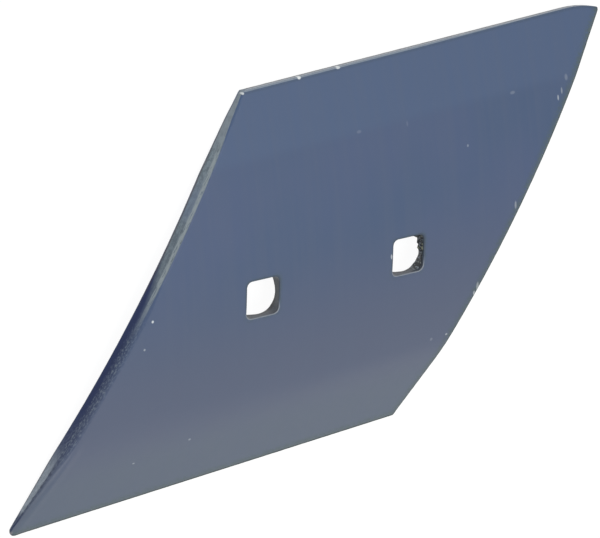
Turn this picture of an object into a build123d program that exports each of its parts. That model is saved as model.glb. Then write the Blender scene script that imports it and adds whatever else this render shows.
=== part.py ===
from build123d import *
import math
import os

# Plough share of the square-hole bolt-on kind: one piece of flat steel, cut to a
# parallelogram, bent about its long edges and drawn thin along both of them.
# All sizes are in millimetres.  "Along the plate" is measured over the bend from
# the bolt line.  The back is the bulging side, the soil side is the hollow one.

# The plate
thickness = 6.5
bend_radius = 260.0  # at the middle of the thickness

# Upper edge, which meets the mouldboard
upper_crease = 46.5  # bolt line to the crease, along the plate
upper_bevel_width = 24.0
upper_edge_thickness = 2.9
upper_edge_rise = 0.2  # middle of the edge above the middle of the plate
upper_crease_radius = 15.0

# Cutting edge
cutting_crease = 40.0
cutting_bevel_width = 25.0
cutting_edge_thickness = 0.5
cutting_edge_rise = -1.0
cutting_crease_radius = 60.0

# Ends, both slanted the same way: where they cross the bolt line, and their angle
# to the long edges
point_end_reach = 80.2
point_end_angle = 54.0
wing_end_reach = 74.2
wing_end_angle = 56.0

# Corners, and the clipped upper wing corner
point_radius = 2.0  # the sharp corner of the cutting edge
blunt_corner_radius = 1.2
clip_length = 15.0
clip_depth = 2.5
clip_corner_radius = 0.8
back_rim_radius = 0.4

# Bolt holes: a square neck from the back, a countersink from the soil side
bolt_spacing = 60.0
neck_width = 13.0
neck_corner_radius = 2.0
neck_turn = -3.0  # degrees, as punched
countersink_diameter = 20.0
countersink_angle = 85.0


def on_plate(along, out):
    """Across and height of a point, from the middle of the thickness on the bolt line."""
    bent = min(max(along, -cutting_crease), upper_crease)
    turn = bent / bend_radius
    flat = along - bent
    across = (bend_radius + out) * math.sin(turn) + flat * math.cos(turn)
    height = (bend_radius + out) * math.cos(turn) - bend_radius - flat * math.sin(turn)
    return across, height


def end_x(side, across):
    """Where an end face stands at a distance across from the bolt line."""
    if side == "point":
        return across / math.tan(math.radians(point_end_angle)) - point_end_reach
    return across / math.tan(math.radians(wing_end_angle)) + wing_end_reach


half = thickness / 2
upper_edge = upper_crease + upper_bevel_width
cutting_edge = -(cutting_crease + cutting_bevel_width)


def side_line(way):
    """Section of the back (way 1) or the soil side (way -1), from cutting to upper edge."""
    return [
        on_plate(cutting_edge, cutting_edge_rise + way * cutting_edge_thickness / 2),
        on_plate(-cutting_crease, way * half),
        on_plate(0, way * half),
        on_plate(upper_crease, way * half),
        on_plate(upper_edge, upper_edge_rise + way * upper_edge_thickness / 2),
    ]


back_line = side_line(1)
soil_line = side_line(-1)


def corner(side, along):
    """Middle of the short edge at a corner of the plate."""
    place = -1 if along > 0 else 0
    across = (back_line[place][0] + soil_line[place][0]) / 2
    height = (back_line[place][1] + soil_line[place][1]) / 2
    return Vector(end_x(side, across), across, height)


# The blank reaches past both slanted ends
blank_start = end_x("point", back_line[0][0]) - thickness
blank_end = end_x("wing", back_line[-1][0]) + thickness

with BuildPart() as plough_share:
    # Rolled and bent section, run along the long edges
    with BuildSketch(Plane.YZ.offset(blank_start)) as section:
        with BuildLine():
            for edge, crease, middle, far_crease, far_edge in (back_line, soil_line):
                Line(edge, crease)
                ThreePointArc(crease, middle, far_crease)
                Line(far_crease, far_edge)
            Line(back_line[0], soil_line[0])
            Line(back_line[-1], soil_line[-1])
        make_face()
        for crease, radius in ((1, cutting_crease_radius), (3, upper_crease_radius)):
            for line in (back_line, soil_line):
                fillet(section.vertices().sort_by_distance(line[crease])[0], radius)
    extrude(amount=blank_end - blank_start)

    # The two slanted ends
    for side, angle, inward in (("point", point_end_angle, 1), ("wing", wing_end_angle, -1)):
        slant = math.radians(angle)
        end_plane = Plane(
            origin=(end_x(side, 0), 0, 0),
            z_dir=(inward * math.sin(slant), -inward * math.cos(slant), 0),
        )
        split(bisect_by=end_plane, keep=Keep.TOP)

    # Rounded corners of the cutting edge and of the upper point corner
    for side, along, radius in (
        ("point", cutting_edge, point_radius),
        ("wing", cutting_edge, blunt_corner_radius),
        ("point", upper_edge, blunt_corner_radius),
    ):
        fillet(plough_share.edges().sort_by_distance(corner(side, along))[0], radius)

    # Clipped upper wing corner: a cut that leans in from the upper edge to the end face
    wing_corner = corner("wing", upper_edge)
    slant = math.radians(wing_end_angle)
    clip_start = Vector(wing_corner.X - clip_length, wing_corner.Y)
    clip_stop = Vector(wing_corner.X - clip_depth / math.tan(slant), wing_corner.Y - clip_depth)
    clip_normal = Vector(clip_start.Y - clip_stop.Y, clip_stop.X - clip_start.X)
    split(bisect_by=Plane(origin=clip_start, z_dir=clip_normal), keep=Keep.BOTTOM)
    clip_corner = Vector(clip_stop.X, clip_stop.Y, wing_corner.Z)
    fillet(plough_share.edges().sort_by_distance(clip_corner)[0], clip_corner_radius)

    # Rim of the back, a little rounded all the way round
    back = plough_share.faces().filter_by(lambda face: face.normal_at().Z > 0.7)
    rim = plough_share.edges().filter_by(
        lambda edge: sum(edge in face.edges() for face in back) == 1
    )
    fillet(rim, min(back_rim_radius, 0.8 * cutting_edge_thickness))

    # Square necks through the plate, then the countersinks from the soil side
    with BuildSketch(Plane.XY.offset(thickness)) as necks:
        with GridLocations(bolt_spacing, 0, 2, 1):
            RectangleRounded(neck_width, neck_width, neck_corner_radius, rotation=neck_turn)
    extrude(amount=-2 * thickness, mode=Mode.SUBTRACT)
    flare = math.tan(math.radians(countersink_angle / 2))
    cone_radius = countersink_diameter / 2 + half * flare
    with Locations((0, 0, -thickness)):
        with GridLocations(bolt_spacing, 0, 2, 1):
            Cone(
                cone_radius, 0, cone_radius / flare,
                align=(Align.CENTER, Align.CENTER, Align.MIN),
                mode=Mode.SUBTRACT,
            )

# Laid down on its two long edges, with the middle of its box over the origin
rise = soil_line[-1][1] - soil_line[0][1]
lean = math.degrees(math.atan2(rise, soil_line[-1][0] - soil_line[0][0]))
plough_share.part = plough_share.part.moved(Rotation(-lean, 0, 0))
box = plough_share.part.bounding_box()
plough_share.part = plough_share.part.moved(Pos(-box.center().X, -box.center().Y, -box.min.Z))
plough_share.part.label = "plough_share"

os.makedirs("parts", exist_ok=True)
export_step(plough_share.part, "parts/plough_share.step")
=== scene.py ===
import math

import bmesh
import bpy
from mathutils import Matrix, Vector, noise


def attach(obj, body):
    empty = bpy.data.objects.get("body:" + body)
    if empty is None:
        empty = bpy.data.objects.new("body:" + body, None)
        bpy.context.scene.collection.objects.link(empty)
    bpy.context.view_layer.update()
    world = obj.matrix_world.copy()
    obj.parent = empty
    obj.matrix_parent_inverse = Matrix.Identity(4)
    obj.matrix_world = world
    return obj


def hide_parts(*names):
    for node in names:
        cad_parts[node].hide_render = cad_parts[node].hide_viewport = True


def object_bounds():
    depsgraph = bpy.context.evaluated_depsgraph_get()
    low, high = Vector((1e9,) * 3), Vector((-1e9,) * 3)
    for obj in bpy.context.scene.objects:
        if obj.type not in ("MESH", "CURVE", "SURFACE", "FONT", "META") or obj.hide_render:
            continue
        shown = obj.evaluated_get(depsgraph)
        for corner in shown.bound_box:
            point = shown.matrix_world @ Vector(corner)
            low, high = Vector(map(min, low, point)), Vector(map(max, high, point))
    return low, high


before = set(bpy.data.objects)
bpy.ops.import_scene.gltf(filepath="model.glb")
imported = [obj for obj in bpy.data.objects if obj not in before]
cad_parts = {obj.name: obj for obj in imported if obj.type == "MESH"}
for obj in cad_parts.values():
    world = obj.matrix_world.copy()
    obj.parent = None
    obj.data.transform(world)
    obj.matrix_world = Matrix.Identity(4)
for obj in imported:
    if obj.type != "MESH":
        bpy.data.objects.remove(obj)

cad_box = [list(corner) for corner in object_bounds()]

# A bolt-on plough share, lying hollow side down on its two long edges.  The plate is
# shaped in millimetres, then laid down and scaled to metres.  "Run" is a place between
# the two ends, counted from midway between the bolt holes.  "Along" is a place between
# the cutting edge and the upper edge, over the bend, counted from the bolt line.  "Out"
# stands off from the middle of the thickness.  The back is the bulging side, the soil
# side the hollow one.

# The plate
bend_radius = 260.0
upper_crease, upper_edge = 46.5, 70.5
cutting_crease, cutting_edge = -40.0, -65.0
upper_width, cutting_width = upper_edge - upper_crease, cutting_crease - cutting_edge
half_thick = 3.25
upper_edge_thick, cutting_edge_thick = 2.9, 0.5
point_end, point_slant = -80.2, math.tan(math.radians(54.0))
wing_end, wing_slant = 74.2, math.tan(math.radians(56.0))
slant_inset = math.sin(math.atan(point_slant))  # distance in from an end, for each run of 1

# How far the back and the soil side fall towards the two edges that are drawn thin
back_upper_fall, back_cutting_fall = 1.6, 4.0
soil_upper_fall, soil_cutting_fall = 2.0, 2.0

# Corners: the sharp one of the cutting edge, the two blunt ones, and the clipped one of the
# wing, with the cut that takes it off
sharp_corner, blunt_corner, clipped_corner = 2.0, 1.2, 0.8
corner_zone = 6.0
clip_length, clip_depth, clip_curve = 15.6, 2.5, 1.9
clip_fade = 12.0

# Rims of the back, how far in they are rounded and how deep, and those of the soil side
wing_rim, upper_rim, cutting_rim = (0.5, 0.45), (0.5, 0.45), (0.3, 0.2)
deepest_rim = 0.4  # as a share of the thickness
soil_rim, thinned_corner = 0.12, 0.8
tip_ridge = 0.12

# Unevenness left by rolling and shearing
face_waviness, rim_roughness, wall_roughness = 0.04, 0.035, 0.09
wave_length, grain_length = 24.0, 1.3
grain_seed = 5
wall_cuts = 6

# The bolt holes
hole_places = (-30.0, 30.0)
neck_half, neck_corner = 6.5, 2.0
neck_turn = math.radians(-3.0)
neck_rim = 0.28
flare_radius, flare_slope = 10.0, math.tan(math.radians(42.5))
flare_ease = 0.2

# How the finished plate lies on the floor
lean = math.radians(0.6454)
laid_down = Vector((2.99185, -2.94354, 8.86149))

# The mesh: spacing of its lines, and the lines that close in on each rounded rim
line_step = 1.0
rim_lines = (0.0, 0.05, 0.18, 0.4, 0.68, 1.0)
rim_gaps = (0.6, 1.3, 2.1)

# Round each hole: cells from its middle to its edge, how many times that far its lines are
# bent round it and how fast they spread, the levels of its rim and of its wall, and the
# distance that is kept for a point away from both holes
hole_cells = 8
hole_reach = 2.6
ring_growth = 0.75
rim_levels, wall_levels = 4, 9
far_from_holes = 20.0

sides = ("point", "wing", "cutting", "upper")

# Chips in the enamel of the back: run, along, half width, half height, and how bright the
# steel is in them
chips = (
    (56.9, 32.8, 0.4, 0.5, 0.25),
    (77.8, 46.7, 1.1, 0.6, 0.12),
    (97.0, 40.8, 0.35, 1.0, 0.4),
    (98.8, 42.9, 0.35, 1.2, 0.25),
    (101.3, 47.1, 0.7, 1.2, 0.12),
    (13.1, 47.4, 1.0, 0.6, 0.08),
    (32.8, 45.8, 0.4, 1.0, 0.06),
    (-73.6, 2.9, 0.45, 0.5, 0.8),
    (-77.1, -6.1, 0.4, 0.4, 0.4),
    (-57.7, -45.9, 0.5, 0.4, 0.3),
    (-79.5, -48.9, 0.5, 0.3, 0.3),
    (76.1, 7.1, 0.45, 1.5, 0.25),
    (60.0, -19.2, 0.6, 1.6, 0.3),
    (58.6, -21.5, 0.45, 0.9, 0.4),
    (47.6, -34.6, 0.5, 0.4, 0.4),
    (41.1, -34.8, 0.6, 0.6, 0.12),
    (-29.5, 69.7, 0.5, 0.45, 0.8),
    (-7.0, 70.2, 0.7, 0.6, 1.0),
    (8.8, 70.2, 0.9, 0.5, 0.8),
    (22.8, 1.3, 0.35, 0.9, 0.5),
)


def smooth(low, high, value):
    """0 at low, 1 at high, and an even S between them."""
    part = min(max((value - low) / (high - low), 0.0), 1.0)
    return part * part * (3 - 2 * part)


def sloped(low, high, value):
    """A straight slope from 0 at low to 1 at high."""
    return min(max((value - low) / (high - low), 0.0), 1.0)


def eased(past, reach):
    """A slope that starts at 0, its start rounded over reach on both sides."""
    if past <= -reach:
        return 0.0
    if past >= reach:
        return past
    return (past + reach) ** 2 / (4 * reach)


def bent(along, out):
    """Across and height of a point of the rolled plate."""
    turned = min(max(along, cutting_crease), upper_crease)
    turn = turned / bend_radius
    flat = along - turned
    across = (bend_radius + out) * math.sin(turn) + flat * math.cos(turn)
    height = (bend_radius + out) * math.cos(turn) - bend_radius - flat * math.sin(turn)
    return across, height


def thick(along):
    """Thickness of the plate, drawn down towards both long edges."""
    upper = (2 * half_thick - upper_edge_thick) * sloped(upper_crease, upper_edge, along)
    lower = (2 * half_thick - cutting_edge_thick) * sloped(cutting_crease, cutting_edge, along)
    return 2 * half_thick - upper - lower


def back_out(along, wing):
    """How far the back stands out from the middle of the plate. Wing is 0 to 1 along it."""
    upper_reach = 0.6 + 11.0 * (1 - smooth(0.05, 0.65, wing))
    lower_reach = 5.0 + 6.0 * (1 - smooth(0.1, 0.8, wing))
    out = half_thick
    out -= eased(along - upper_crease, upper_reach) * back_upper_fall / upper_width
    out -= eased(cutting_crease - along, lower_reach) * back_cutting_fall / cutting_width
    return out


def soil_out(along, wing):
    """The same for the soil side: less than 0, and alike from end to end."""
    out = -half_thick
    out += eased(along - upper_crease, 0.7) * soil_upper_fall / upper_width
    out += eased(cutting_crease - along, 2.5) * soil_cutting_fall / cutting_width
    return out


def worn_rim(side, along):
    """How far in from a side the back's rim is rounded, and how far down it goes there."""
    if side == "point":
        # Worn deeper below the middle, most at the tip, and a little at the upper corner
        worn, tip = smooth(20, -10, along), smooth(-30, -44, along)
        notched = 0.3 * noise.noise(Vector((along / 2.0, 0, 0))) * smooth(70, 40, along)
        corner = smooth(52, 66, along)
        reach = 0.45 + notched + 1.0 * worn + 1.4 * tip + 0.4 * corner
        deep = 0.3 + 2.2 * worn + 0.5 * corner
        return reach, min(deep, (0.42 - 0.14 * tip) * thick(along))
    if side == "wing":
        reach, deep = wing_rim
        return reach, min(deep, deepest_rim * thick(along))
    return upper_rim if side == "upper" else cutting_rim


def lines(length):
    """Places of the mesh lines over a length: close at both rims, even between them."""
    near = [("low", part, 0.0) for part in rim_lines] + [("low", 1.0, gap) for gap in rim_gaps]
    far = [("high", part, gap) for _, part, gap in reversed(near)]
    count = round((length - 2 * rim_gaps[-1]) / line_step)
    return near + [("middle", k / count, 0.0) for k in range(1, count)] + far


def line_place(line, low_rim, high_rim, length):
    """Where one of those lines falls, with the rims' own widths at both ends."""
    kind, part, gap = line
    if kind == "low":
        return low_rim * part + gap
    if kind == "high":
        return length - high_rim * part - gap
    start, stop = low_rim + rim_gaps[-1], length - high_rim - rim_gaps[-1]
    return start + (stop - start) * part


def rounding(inside, reach, deep):
    """How far a rounded rim has dropped at a distance inside the edge."""
    if inside >= reach:
        return 0.0
    return deep * (1 - math.sqrt(max(1 - (1 - max(inside, 0.0) / reach) ** 2, 0.0)))


def worn_clip(run):
    """How far the upper wing corner is cut back, from the point where the cut starts."""
    return clip_depth * max(run / clip_length, 0.0) ** clip_curve


def round_corner(place, tip, one_way, other_way, radius):
    """Moves a point of the outline's sharp corner onto a round one, lines inside it too."""
    angle = one_way.angle(other_way)
    cross = one_way.x * other_way.y - one_way.y * other_way.x
    offset = place - tip
    one = (offset.x * other_way.y - offset.y * other_way.x) / cross
    other = (one_way.x * offset.y - one_way.y * offset.x) / cross
    deep, long = min(one, other), max(one, other)
    reach = radius / math.tan(angle / 2) - deep * math.cos(angle)
    if deep >= radius / math.sin(angle) or long >= reach:
        return place
    middle_way = (one_way + other_way).normalized()
    centre = tip + middle_way * radius / math.sin(angle / 2)
    turn = (long - deep) / (reach - deep) * (math.pi - angle) / 2
    if (one < other) == (cross > 0):
        turn = -turn
    spoke = Matrix.Rotation(turn, 2) @ middle_way
    return centre - spoke * (radius - deep * math.sin(angle))


def on_ring(step_x, step_y, half, corner):
    """A point of a rounded square, from where it stands on a plain square of half side 1."""
    spread = [part * (1.25 - 0.25 * part * part) for part in (step_x, step_y)]
    core = [min(max(part * half, corner - half), half - corner) for part in spread]
    way = Vector((spread[0] * half - core[0], spread[1] * half - core[1])).normalized()
    point = Vector(core) + way * corner
    return Matrix.Rotation(neck_turn, 2) @ point


class Plate:
    """The share's mesh while it is being shaped.

    Its layers keep, at every point: along, the distance along the plate; depth, 0 on the
    back and 1 on the soil side; from_<side>, the distance in from each side; over_point,
    the distance over the rim of the point end, less than 0 down its end face; hole, the
    distance from a bolt hole, less than 0 down its neck; down, 0 to 1 down the neck's
    wall; crust, how thick dirt sits there.
    """

    def __init__(self):
        self.mesh = bmesh.new()
        layers = self.mesh.verts.layers.float
        self.along, self.depth, self.over_point = (
            layers.new(name) for name in ("along", "depth", "over_point")
        )
        self.hole, self.down, self.crust = (
            layers.new(name) for name in ("hole", "down", "crust")
        )
        self.ring_x, self.ring_y = layers.new("ring_x"), layers.new("ring_y")
        self.inside = {side: layers.new("from_" + side) for side in sides}
        self.run_lines = lines(wing_end - point_end)
        self.across_lines = lines(upper_edge - cutting_edge)
        rows, columns = range(len(self.across_lines)), range(len(self.run_lines))
        self.middle_row = min(rows, key=lambda row: abs(self.along_of(row)))
        self.hole_columns = [
            min(columns, key=lambda column: abs(self.run_of(column, 0.0) - place))
            for place in hole_places
        ]
        self.clip_tip, _ = self.clipped(len(self.run_lines) - 1, len(self.across_lines) - 1)

    def along_of(self, row):
        return cutting_edge + line_place(
            self.across_lines[row], cutting_rim[0], upper_rim[0], upper_edge - cutting_edge
        )

    def run_of(self, column, along):
        across, _ = bent(along, 0)
        start = across / point_slant + point_end
        stop = across / wing_slant + wing_end
        low = worn_rim("point", along)[0] / slant_inset
        high = worn_rim("wing", along)[0] / slant_inset
        return start + line_place(self.run_lines[column], low, high, stop - start)

    def clipped(self, column, row):
        """Where two mesh lines cross on the flat plate, and how far in from each side."""
        along = self.along_of(row)
        run = self.run_of(column, along)
        across, _ = bent(along, 0)
        inside = {
            "point": (run - across / point_slant - point_end) * slant_inset,
            "wing": (across / wing_slant + wing_end - run) * slant_inset,
            "cutting": along - cutting_edge,
            "upper": upper_edge - along,
        }
        clip_start = bent(upper_edge, 0)[0] / wing_slant + wing_end - clip_length
        along -= worn_clip(run - clip_start) * smooth(clip_fade, 0.0, inside["upper"])
        return Vector((self.run_of(column, along), along)), inside

    def round_corners(self, place):
        """The flat place, moved if it lies at one of the plate's four corners."""
        top, bottom = bent(upper_edge, 0)[0], bent(cutting_edge, 0)[0]
        right = Vector((1, 0))
        up_point = Vector((1 / point_slant, 1)).normalized()
        up_wing = Vector((1 / wing_slant, 1)).normalized()
        along_clip = Vector((-1, 0.3)).normalized()
        for tip, one_way, other_way, radius in (
            ((bottom / point_slant + point_end, cutting_edge), right, up_point, sharp_corner),
            ((bottom / wing_slant + wing_end, cutting_edge), -right, up_wing, blunt_corner),
            ((top / point_slant + point_end, upper_edge), right, -up_point, blunt_corner),
            (self.clip_tip, along_clip, -up_wing, clipped_corner),
        ):
            tip = Vector(tip)
            if (place - tip).length < corner_zone:
                return round_corner(place, tip, one_way, other_way, radius)
        return place

    def surface_place(self, column, row, out_of, hole_outline):
        """A point of the back or the soil side, and what the layers keep there."""
        wing = column / (len(self.run_lines) - 1)
        place, inside = self.clipped(column, row)
        place = self.round_corners(place)
        nearest = far_from_holes
        for hole, hole_column in zip(hole_places, self.hole_columns):
            step_x = (column - hole_column) / hole_cells
            step_y = (row - self.middle_row) / hole_cells
            ring = max(abs(step_x), abs(step_y))
            if 0 < ring < hole_reach:
                edge = hole_outline(step_x / ring, step_y / ring)
                grown = Vector((hole, 0)) + edge * (1 + ring_growth * (ring - 1))
                place = place.lerp(grown, 1 - smooth(1.0, hole_reach, ring))
                nearest = min(nearest, max(ring - 1, 0) * neck_half)
        out = out_of(place.y, wing)
        kept = {self.along: place.y, self.hole: nearest}
        if out_of is back_out:
            drops = {
                side: rounding(gap, *worn_rim(side, place.y)) for side, gap in inside.items()
            }
            ridge = smooth(1.5, 3.0, inside["point"]) * smooth(5.5, 3.0, inside["point"])
            out += tip_ridge * ridge * smooth(-28, -40, place.y) - max(drops.values())
            kept[self.over_point] = inside["point"] - drops["point"]
        else:
            thinned = thinned_corner * smooth(61, 70, place.y)
            out += max(rounding(gap, soil_rim, soil_rim) for gap in inside.values())
            out += rounding(inside["point"], thinned_corner, thinned)
            kept[self.depth] = 1.0
            kept[self.over_point] = inside["point"] - thick(place.y)
        for side, gap in inside.items():
            kept[self.inside[side]] = gap
        return self.laid(place, out, wing), kept

    def laid(self, place, out, wing):
        """A point of the bent plate from its flat place."""
        level, _ = bent(place.y, 0)
        across, height = bent(place.y, out)
        slope = (1 - wing) / point_slant + wing / wing_slant
        return Vector((place.x + (across - level) * slope, across, height))

    def lay_side(self, out_of, hole_outline):
        """One side of the plate as a sheet of even cells, with its two holes left open."""
        columns, rows = len(self.run_lines) - 1, len(self.across_lines) - 1
        sheet = bmesh.ops.create_grid(self.mesh, x_segments=columns, y_segments=rows, size=0.5)
        spots = {}
        for vert in sheet["verts"]:
            spot = (round((vert.co.x + 0.5) * columns), round((vert.co.y + 0.5) * rows))
            spots[spot] = vert
        for spot, vert in spots.items():
            vert.co, kept = self.surface_place(*spot, out_of, hole_outline)
            for layer, value in kept.items():
                vert[layer] = value
            for hole_column in self.hole_columns:
                step_x, step_y = spot[0] - hole_column, spot[1] - self.middle_row
                if max(abs(step_x), abs(step_y)) == hole_cells:
                    vert[self.ring_x] = step_x / hole_cells
                    vert[self.ring_y] = step_y / hole_cells
        inner = [
            vert for (column, row), vert in spots.items()
            if abs(row - self.middle_row) < hole_cells
            and min(abs(column - hole) for hole in self.hole_columns) < hole_cells
        ]
        bmesh.ops.delete(self.mesh, geom=inner, context="VERTS")
        return {spot: vert for spot, vert in spots.items() if vert.is_valid}

    def hole_loop(self, spots, hole_column):
        """The open edges round one hole of a sheet."""
        ring = {
            spots[spot] for spot in spots
            if max(abs(spot[0] - hole_column), abs(spot[1] - self.middle_row)) == hole_cells
        }
        return [
            edge for edge in self.mesh.edges
            if edge.is_boundary and edge.verts[0] in ring and edge.verts[1] in ring
        ]


def neck_outline(step_x, step_y):
    """A hole's edge on the back: the square neck, as wide as its rim."""
    return on_ring(step_x, step_y, neck_half + neck_rim, neck_corner + neck_rim)


def flare_outline(step_x, step_y):
    """A hole's edge on the soil side: the countersink's circle."""
    return on_ring(step_x, step_y, neck_half, neck_corner).normalized() * flare_radius


def loop_on(edges):
    return {vert for edge in edges for vert in edge.verts}


def crusted(hole, ring_x, ring_y, out):
    """How far dirt and paint stand in from a hole's wall, most in the wing's hole."""
    spot = Vector((ring_x * neck_half, ring_y * neck_half + hole, out))
    rough = 0.06 * noise.noise(spot / 0.9)
    if hole > 0:
        crust = smooth(0.0, 0.6, ring_x) * smooth(-1.6, -1.0, ring_y)
        lumps = 1.5 * max(noise.noise(spot / 1.1), 0.0) * smooth(-0.6, 0.3, ring_y)
        rough += crust * (0.25 + lumps)
    return rough


def sink_neck(plate, loop, hole):
    """Takes a hole's open edges over its rounded rim and down to the countersink."""
    for level in range(1, rim_levels + wall_levels + 1):
        grown = bmesh.ops.extrude_edge_only(plate.mesh, edges=loop)["geom"]
        loop = [part for part in grown if isinstance(part, bmesh.types.BMEdge)]
        turn = min(level / rim_levels, 1) * math.pi / 2
        wider = neck_rim * (1 - math.sin(turn))
        top = half_thick - neck_rim * (1 - math.cos(turn))
        down = max(level - rim_levels, 0) / wall_levels
        for vert in loop_on(loop):
            step = (vert[plate.ring_x], vert[plate.ring_y])
            ring = on_ring(*step, neck_half + wider, neck_corner + wider)
            stop = (flare_radius - ring.length) / flare_slope - half_thick
            out = top + (stop - top) * down
            crust = crusted(hole, *step, out) * smooth(0, 0.2, down)
            place = Vector((hole, 0)) + ring - Vector(step) * crust
            vert.co = plate.laid(place, out, wing=0.5)
            vert[plate.hole] = out - half_thick
            vert[plate.down] = down
            vert[plate.crust] = crust
    return loop


def sheared_walls(plate):
    """Closes the plate round its outline, with lines in the walls to roughen them."""
    outline = [edge for edge in plate.mesh.edges if edge.is_boundary]
    made = bmesh.ops.bridge_loops(plate.mesh, edges=outline)
    bmesh.ops.subdivide_edges(
        plate.mesh, edges=made["edges"], cuts=wall_cuts, use_grid_fill=True
    )


def roughen(plate):
    """Leaves the rolled faces a little uneven, and the sheared ends rough."""
    noise.seed_set(grain_seed)
    for vert in plate.mesh.verts:
        edge = min(vert[layer] for layer in plate.inside.values())
        spot = Vector(vert.co)
        rough = rim_roughness * smooth(4.0, 0.3, edge)
        if 0.001 < vert[plate.depth] < 0.999:
            rough = wall_roughness
        vert.co.z += face_waviness * noise.noise(spot / wave_length) * smooth(0.0, 6.0, edge)
        vert.co += rough * noise.noise_vector(spot / grain_length)


def share_plate():
    """The whole share as one closed piece, in metres, where the CAD part lies."""
    plate = Plate()
    back = plate.lay_side(back_out, neck_outline)
    soil = plate.lay_side(soil_out, flare_outline)
    soil_side = set(soil.values())
    under = [face for face in plate.mesh.faces if face.verts[0] in soil_side]
    bmesh.ops.reverse_faces(plate.mesh, faces=under)
    for hole, column in zip(hole_places, plate.hole_columns):
        neck = sink_neck(plate, plate.hole_loop(back, column), hole)
        flare = plate.hole_loop(soil, column)
        bmesh.ops.bridge_loops(plate.mesh, edges=neck + flare)
        bmesh.ops.bevel(
            plate.mesh, geom=neck + flare, offset=flare_ease, offset_type="OFFSET", segments=2,
            profile=0.5, affect="EDGES", material=-1, clamp_overlap=True,
        )
    sheared_walls(plate)
    roughen(plate)
    for face in plate.mesh.faces:
        face.smooth = True
    bmesh.ops.recalc_face_normals(plate.mesh, faces=plate.mesh.faces)
    verts, leaned = plate.mesh.verts, Matrix.Rotation(lean, 4, "X")
    bmesh.ops.transform(plate.mesh, matrix=leaned, verts=verts)
    bmesh.ops.translate(plate.mesh, vec=laid_down, verts=verts)
    bmesh.ops.scale(plate.mesh, vec=(0.001, 0.001, 0.001), verts=verts)
    low, high = (Vector(corner) for corner in cad_box)
    for vert in plate.mesh.verts:
        vert.co = Vector(map(min, map(max, vert.co, low), high))
    mesh = bpy.data.meshes.new("share")
    plate.mesh.to_mesh(mesh)
    plate.mesh.free()
    share = bpy.data.objects.new("share", mesh)
    bpy.context.scene.collection.objects.link(share)
    return share


# Colours of the finish: linear red, green and blue, and full alpha

# The enamel of the rolled faces
cool_slate = (0.058, 0.094, 0.171, 1)
warm_slate = (0.068, 0.098, 0.180, 1)
dull_slate = (0.086, 0.107, 0.165, 1)
# Painted light: the upper band, which tilts up towards the lamps, a little lighter
top_band_lit_slate = (0.068, 0.105, 0.188, 1)
grey_slate = (0.090, 0.119, 0.162, 1)
streaked_slate = (0.085, 0.112, 0.170, 1)
pale_dust = (0.16, 0.18, 0.2, 1)

# The point end: bare steel, dark enamel with painted shade, and the rubbed tip
dark_steel = (0.125, 0.160, 0.188, 1)
pale_steel = (0.205, 0.255, 0.290, 1)
corner_steel = (0.25, 0.285, 0.32, 1)
dim_steel = (0.105, 0.135, 0.165, 1)
blued_steel = (0.145, 0.19, 0.27, 1)
navy_enamel_and_shade = (0.020, 0.033, 0.098, 1)
dark_speckle = (0.020, 0.032, 0.080, 1)
light_speckle = (0.20, 0.24, 0.27, 1)
# A pale line along the point end's rim: a painted highlight
rim_highlight_line = (0.30, 0.345, 0.365, 1)
rubbed_grey = (0.20, 0.235, 0.27, 1)
rubbed_pale = (0.29, 0.33, 0.38, 1)
rim_shade = (0.098, 0.112, 0.150, 1)
dotted_rim_dark = (0.020, 0.025, 0.05, 1)
brown_rim = (0.07, 0.055, 0.045, 1)
scorched_blue = (0.015, 0.025, 0.07, 1)
nose_grey = (0.21, 0.20, 0.21, 1)

# The other edges
edge_grey = (0.098, 0.116, 0.130, 1)
edge_mottle = (0.072, 0.104, 0.112, 1)
edge_soil = (0.150, 0.185, 0.185, 1)
# Painted shade along the very edge of the wing and the cutting edge
edge_shade_outline = (0.040, 0.052, 0.050, 1)
upper_shadow = (0.040, 0.062, 0.075, 1)
upper_strip = (0.225, 0.265, 0.31, 1)
upper_outline = (0.06, 0.055, 0.055, 1)

# The bolt holes, and the chips
neck_dark = (0.045, 0.055, 0.072, 1)
neck_grey = (0.090, 0.105, 0.125, 1)
neck_lower = (0.036, 0.045, 0.064, 1)
# Painted shade at the foot of the neck's wall
neck_foot_shade = (0.012, 0.014, 0.016, 1)
hole_edge = (0.03, 0.045, 0.05, 1)
# Painted highlight on the holes' lower rims
hole_rim_highlight = (0.25, 0.27, 0.29, 1)
hole_stain = (0.055, 0.09, 0.10, 1)
dark_dirt = (0.005, 0.008, 0.014, 1)
pale_dirt = (0.19, 0.225, 0.26, 1)
dried_clay = (0.24, 0.25, 0.17, 1)
chip_steel = (0.72, 0.75, 0.74, 1)


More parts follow.
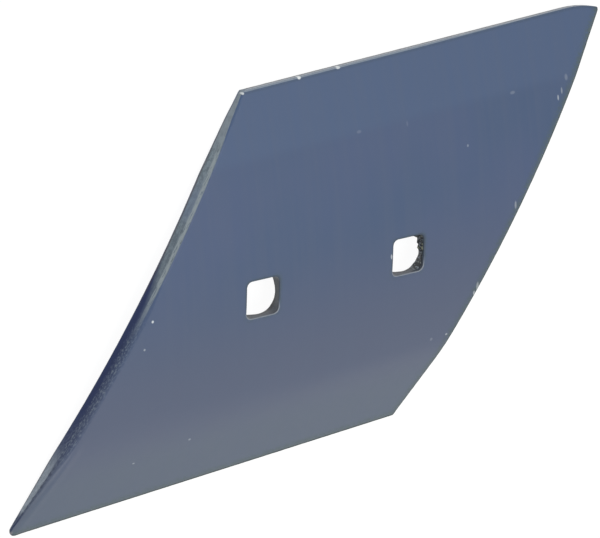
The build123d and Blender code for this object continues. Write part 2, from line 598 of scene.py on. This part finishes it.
class Wire:
    """One output in a material's nodes. Sums on it add Math nodes."""

    def __init__(self, tree, socket=None):
        self.tree, self.socket = tree, socket

    def node(self, kind, out=0, values=(), **settings):
        """Adds any node: its settings first, then the values or wires of its sockets."""
        made = self.tree.nodes.new(kind)
        for name, value in settings.items():
            setattr(made, name, value)
        for name, value in dict(values).items():
            if isinstance(value, Wire):
                self.tree.links.new(value.socket, made.inputs[name])
            else:
                made.inputs[name].default_value = value
        return Wire(self.tree, made.outputs[out])

    def sum(self, operation, one, other):
        """A Math node on two numbers or wires."""
        return self.node("ShaderNodeMath", values={0: one, 1: other}, operation=operation)

    def __add__(self, other):
        return self.sum("ADD", self, other)

    def __sub__(self, other):
        return self.sum("SUBTRACT", self, other)

    def __mul__(self, other):
        return self.sum("MULTIPLY", self, other)

    def __rsub__(self, other):
        return self.sum("SUBTRACT", other, self)

    __radd__, __rmul__ = __add__, __mul__

    def between(self, low, high):
        """0 at low, 1 at high, with an even S between them."""
        return self.node(
            "ShaderNodeMapRange", interpolation_type="SMOOTHSTEP",
            values={"Value": self, "From Min": low, "From Max": high},
        )

    def noise(self, scale, detail=2.0, roughness=0.5, stretch=None):
        """Even noise of about 1 / scale over this place, stretched first if asked."""
        place = self
        if stretch:
            place = self.node(
                "ShaderNodeVectorMath", operation="MULTIPLY", values={0: self, 1: stretch}
            )
        return self.node(
            "ShaderNodeTexNoise", noise_dimensions="3D",
            values={"Vector": place, "Scale": scale, "Detail": detail, "Roughness": roughness},
        )

    def tint(self, one, other):
        """A colour from one, where this is 0, to other, where it is 1."""
        return self.node(
            "ShaderNodeMix", out=2, data_type="RGBA", values={0: self, 6: one, 7: other}
        )


def rolled_blue(at, place):
    """The enamel of the rolled faces: slate blue, greyer towards the cutting edge, with the
    upper band painted lighter as painted light.
    """
    along = at["along"]
    cloud = place.noise(0.02, 3.0).between(0.3, 0.7)
    streak = place.noise(1.0, 2.0, stretch=(0.35, 0.012, 0.02)).between(0.3, 0.75)
    fleck = place.noise(1.6, 2.0, 0.6).between(0.66, 0.78)
    blue = cloud.tint(cool_slate, warm_slate)
    blue = along.between(25, -30).tint(blue, dull_slate)
    # Painted light: the upper band, tilted up towards the lamps, painted a little lighter
    blue = along.between(45, 49.5).tint(blue, top_band_lit_slate)
    blue = (0.8 * along.between(-36, -54)).tint(blue, grey_slate)
    blue = (0.25 * streak).tint(blue, streaked_slate)
    return (0.2 * fleck).tint(blue, pale_dust)


def point_end_tones(at, place, blue):
    """The point end: bare and pale above, dark enamel with painted shade in the middle, rubbed
    at the tip.
    """
    # In millimetres, over is less than 0 down the end face and more than 0 on the back
    along, over, gap, depth = at["along"], at["over_point"], at["from_point"], at["depth"]
    outer = 1 - depth.between(0.93, 1.0)
    run = along.node("ShaderNodeCombineXYZ", values={0: along, 1: over, 2: 0.0})
    drawn = run.noise(1.0, 3.0, 0.7, stretch=(0.35, 1.8, 1.0))
    dots = run.noise(1.0, 3.0, 0.7, stretch=(1.0, 1.4, 1.0))
    patches = 0.5 * place.noise(0.7, 3.0, 0.7) + 0.5 * drawn
    over = over + 0.9 * (drawn - 0.5)
    pale, tip = along.between(2, 20), along.between(-34, -46)
    middle = (1 - pale) * (1 - tip)
    speckled = along.between(10, -6) * (1 - tip)

    bare = patches.between(0.44, 0.56).tint(dark_steel, pale_steel)
    bare = (0.6 * along.between(50, 60)).tint(bare, corner_steel)
    bare = (0.45 * along.between(38, 24)).tint(bare, dim_steel)
    blued = along.between(30, 36) * along.between(46, 39)
    bare = (0.6 * blued).tint(bare, blued_steel)
    enamelled = over + 0.3 * along.between(50, 66)
    toned = (pale * enamelled.between(0.1, -0.35)).tint(blue, bare)

    # Dark navy down the middle of the end face: dark enamel, painted darker still as shade
    # where the end face turns from the light
    risen = -0.154 * over + 0.7 * along.between(29, 4)
    navy = risen.between(0.85, 1.35) * along.between(-42, -22)
    toned = navy.tint(toned, navy_enamel_and_shade)
    dark_dots = 0.6 * over.between(2.4, -1.5) * dots.between(0.53, 0.46) * speckled
    toned = dark_dots.tint(toned, dark_speckle)
    light_dots = over.between(-4.6, -2.5) * over.between(1.6, 0.3) * dots.between(0.54, 0.60)
    toned = (0.45 * light_dots * speckled).tint(toned, light_speckle)
    # A pale line just down the upper rim of the point end: a painted highlight where the
    # rounded rim catches the light
    line = over.between(-2.6, -1.8) * over.between(0.1, -0.6) * drawn.between(0.35, 0.5)
    line = line * along.between(60, 48) * along.between(-4, 18)
    toned = (0.9 * line).tint(toned, rim_highlight_line)

    rubbed = patches.between(0.4, 0.6).tint(rubbed_grey, rubbed_pale)
    toned = (depth.between(0.02, 0.12) * tip).tint(toned, rubbed)
    shade = tip * gap.between(3.2, 0.0) * depth.between(0.1, 0.0)
    toned = (0.5 * shade).tint(toned, rim_shade)
    # A broken dark line along the rim of the tip
    dotted = tip * gap.between(0.6, 0.1) * depth.between(0.3, 0.05) * dots.between(0.54, 0.42)
    toned = (0.55 * dotted).tint(toned, dotted_rim_dark)
    outline = depth.between(0.80, 0.93) * (1 - middle)
    toned = (0.6 * outline).tint(toned, brown_rim)
    scorch = along.between(-55.5, -58.5) * along.between(-63.3, -61.8) * over.between(0.6, -0.2)
    toned = (0.75 * scorch).tint(toned, scorched_blue)
    nose = along.between(-62.4, -63.4) * over.between(1.2, 0.4)
    toned = (0.7 * nose).tint(toned, nose_grey)
    face = outer * gap.between(6.0, 4.0)
    worn = outer * (over - 1.3 * middle - 0.6 * along.between(50, 66)).between(0.5, -0.2)
    return face.tint(blue, toned), worn


def long_edge_tones(at, place, blue):
    """The three other edges: a bright strip above, soiled grey ones at the wing and below, with
    a thin dark line of painted shade at their very edge.
    """
    depth, grain = at["depth"], place.noise(1.3, 3.0, 0.7)
    patch = place.noise(0.09, 2.0).between(0.4, 0.6)
    wing_edge, lower_edge, upper = at["from_wing"], at["from_cutting"], at["from_upper"]
    near = wing_edge.sum("MINIMUM", wing_edge, lower_edge)
    blue = (0.9 * near.between(1.4, 0.5)).tint(blue, edge_grey)
    mottled = near.between(3.6, 0.8) * grain.between(0.38, 0.56)
    blue = (0.9 * mottled).tint(blue, edge_mottle)
    soiled = near.between(1.7, 0.2) * grain.between(0.42, 0.62) * (0.35 + 0.65 * patch)
    blue = (0.6 * soiled).tint(blue, edge_soil)
    # A thin dark line at the very edge of the wing end and the cutting edge: painted shade
    # where the edge turns away from the light
    blue = (0.8 * near.between(0.7, 0.3)).tint(blue, edge_shade_outline)
    upper = upper + 0.4 * wing_edge.between(70, 15)
    dark = upper.between(1.7, 1.0) * depth.between(0.1, 0.0) * grain.between(0.3, 0.5)
    blue = (0.3 * dark).tint(blue, upper_shadow)
    strip = upper.between(0.6, 0.35) * depth.between(1.0, 0.85)
    blue = (0.9 * strip).tint(blue, upper_strip)
    outline = strip * depth.between(0.4, 0.7)
    return (0.9 * outline).tint(blue, upper_outline), near.between(0.8, 0.4)


def hole_tones(at, place, blue):
    """Bolt hole necks: dull walls painted darker towards their foot as shade, a painted
    highlight on the lower rim, and dirt caked in the wing's hole.
    """
    hole, crust = at["hole"], at["crust"]
    across = place.node("ShaderNodeSeparateXYZ", out=1, values={0: place})
    grain = place.noise(1.2, 3.0, 0.7)
    wall = hole.between(-0.1, -0.4)
    dull = grain.between(0.35, 0.65).tint(neck_dark, neck_grey)
    dull = (0.6 * across.between(-5.0, -8.0)).tint(dull, neck_lower)
    # Painted shade: the neck's wall darkens towards its foot, down in the hole
    dull = (0.85 * at["down"].between(0.5, 0.85)).tint(dull, neck_foot_shade)
    blue = wall.tint(blue, dull)
    edge = hole.between(0.7, 0.1) * across.between(-7.0, -4.0)
    blue = (0.5 * edge).tint(blue, hole_edge)
    # A pale line on the lower rim of each hole: a painted highlight where the rounded rim
    # catches the light
    rim = hole.between(-0.35, -0.15) * hole.between(0.15, 0.0) * across.between(-5.0, -8.5)
    blue = (0.85 * rim).tint(blue, hole_rim_highlight)
    stain = hole.between(1.8, 0.3) * hole.between(-0.1, 0.1) * grain.between(0.4, 0.6)
    blue = (0.45 * stain).tint(blue, hole_stain)
    caked = grain.between(0.54, 0.60).tint(dark_dirt, pale_dirt)
    dried = place.noise(0.6, 2.0, 0.6).between(0.57, 0.64) * across.between(-9.0, -6.0)
    caked = (0.8 * dried).tint(caked, dried_clay)
    return crust.between(0.1, 0.25).tint(blue, caked)


def chipped(at, place, blue):
    """Small chips of bright steel in the back."""
    laid_run = place.node("ShaderNodeSeparateXYZ", values={0: place})
    spot = place.node("ShaderNodeCombineXYZ", values={0: laid_run, 1: at["along"], 2: 0.0})
    bright = 0.0
    for run, along, half_width, half_height, shine in chips:
        run += laid_down.x
        scaled = spot.node(
            "ShaderNodeVectorMath", operation="MULTIPLY_ADD",
            values={
                0: spot, 1: (1 / half_width, 1 / half_height, 0),
                2: (-run / half_width, -along / half_height, 0),
            },
        )
        far = scaled.node("ShaderNodeVectorMath", out=1, operation="LENGTH", values={0: scaled})
        bright = bright + shine * far.between(1.25, 0.55)
    bright = bright * at["depth"].between(0.6, 0.4)
    return bright.tint(blue, chip_steel)


def paint(name):
    """Slate-blue enamel over rolled steel, worn off at the edges."""
    material = bpy.data.materials.new(name)
    material.use_nodes = True
    tree = material.node_tree
    tree.nodes.clear()
    start = Wire(tree)
    metres = start.node("ShaderNodeTexCoord", out="Object")
    place = start.node(
        "ShaderNodeVectorMath", operation="SCALE", values={0: metres, "Scale": 1000.0}
    )
    names = ["along", "depth", "hole", "down", "crust", "over_point"]
    names += ["from_" + side for side in sides]
    at = {
        name: start.node("ShaderNodeAttribute", out="Fac", attribute_name=name)
        for name in names
    }
    blue = rolled_blue(at, place)
    blue, edge_wear = long_edge_tones(at, place, blue)
    blue, end_wear = point_end_tones(at, place, blue)
    blue = hole_tones(at, place, blue)
    blue = chipped(at, place, blue)
    wear = start.node(
        "ShaderNodeMath", operation="MAXIMUM", use_clamp=True,
        values={0: edge_wear, 1: end_wear},
    )
    peel, ripple = place.noise(0.35, 3.0), place.noise(0.05, 2.0)
    height = 0.25 * peel + ripple + 0.9 * wear * place.noise(1.1, 3.0, 0.7)
    bump = start.node(
        "ShaderNodeBump", out="Normal",
        values={"Height": height, "Strength": 0.12, "Distance": 0.001},
    )
    enamel = start.node(
        "ShaderNodeBsdfPrincipled",
        values={
            "Base Color": blue, "Roughness": 0.38 + 0.06 * peel, "Normal": bump, "IOR": 1.5,
        },
    )
    worn = start.node(
        "ShaderNodeBsdfPrincipled",
        values={
            "Base Color": blue, "Roughness": 0.75, "Normal": bump, "Specular IOR Level": 0.2,
        },
    )
    mixed = start.node("ShaderNodeMixShader", values={0: wear, 1: enamel, 2: worn})
    end = tree.nodes.new("ShaderNodeOutputMaterial")
    tree.links.new(mixed.socket, end.inputs["Surface"])
    return material


# The camera, in metres, and half the floor's side
camera_place = (-0.662449, 0.482469, 0.967330)
camera_view = Vector((0.51998563, -0.38281733, -0.76358748))
camera_up = Vector((0.23749675, 0.92349377, -0.30125498))
camera_lens = 224.85
floor_half = 3.0


def studio_white():
    """The floor's near-white, which glows a little so that it stays pale."""
    material = bpy.data.materials.new("studio_white")
    material.use_nodes = True
    shader = material.node_tree.nodes["Principled BSDF"]
    shader.inputs["Base Color"].default_value = (0.08, 0.08, 0.08, 1)
    shader.inputs["Roughness"].default_value = 0.9
    shader.inputs["Specular IOR Level"].default_value = 0.0
    shader.inputs["Emission Color"].default_value = (1, 1, 1, 1)
    shader.inputs["Emission Strength"].default_value = 0.95
    return material


def softbox(name, place, size, power, tint=(1, 1, 1)):
    """A rectangular light that shines on the middle of the share."""
    light = bpy.data.lights.new(name, "AREA")
    light.shape, light.size, light.size_y = "RECTANGLE", *size
    light.energy, light.color = power, tint
    box = bpy.data.objects.new(name, light)
    box.location = place
    box.rotation_mode = "QUATERNION"
    box.rotation_quaternion = (-Vector(place)).to_track_quat("-Z", "Y")
    bpy.context.scene.collection.objects.link(box)


def studio():
    """A pale floor, soft light, and the camera where the photograph was taken from."""
    bm = bmesh.new()
    bmesh.ops.create_grid(bm, x_segments=1, y_segments=1, size=floor_half)
    mesh = bpy.data.meshes.new("floor")
    bm.to_mesh(mesh)
    bm.free()
    mesh.materials.append(studio_white())
    floor = bpy.data.objects.new("floor", mesh)
    bpy.context.scene.collection.objects.link(floor)

    world = bpy.data.worlds.new("studio_air")
    world.use_nodes = True
    air = world.node_tree.nodes["Background"]
    air.inputs["Color"].default_value = (0.9, 0.93, 1.0, 1)
    air.inputs["Strength"].default_value = 0.4
    bpy.context.scene.world = world
    softbox("key", (0.0, 0.9, 1.4), (1.0, 1.0), 10.5)
    softbox("overhead", (-0.1, -0.3, 1.7), (1.0, 1.0), 13)
    softbox("low_sheen", (0.94, -1.36, 0.71), (1.0, 0.35), 2.5, (1.0, 0.95, 0.85))

    lens = bpy.data.cameras.new("camera")
    lens.lens, lens.sensor_width = camera_lens, 36.0
    lens.clip_start, lens.clip_end = 0.05, 20.0
    camera = bpy.data.objects.new("camera", lens)
    right = camera_view.cross(camera_up)
    turned = Matrix((right, camera_up, -camera_view)).transposed().to_4x4()
    camera.matrix_world = Matrix.Translation(camera_place) @ turned
    bpy.context.scene.collection.objects.link(camera)
    bpy.context.scene.camera = camera
    bpy.context.scene.view_settings.view_transform = "Standard"


share = share_plate()
share.data.materials.append(paint("slate_blue_enamel"))
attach(share, "root")
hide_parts("plough_share")
studio()
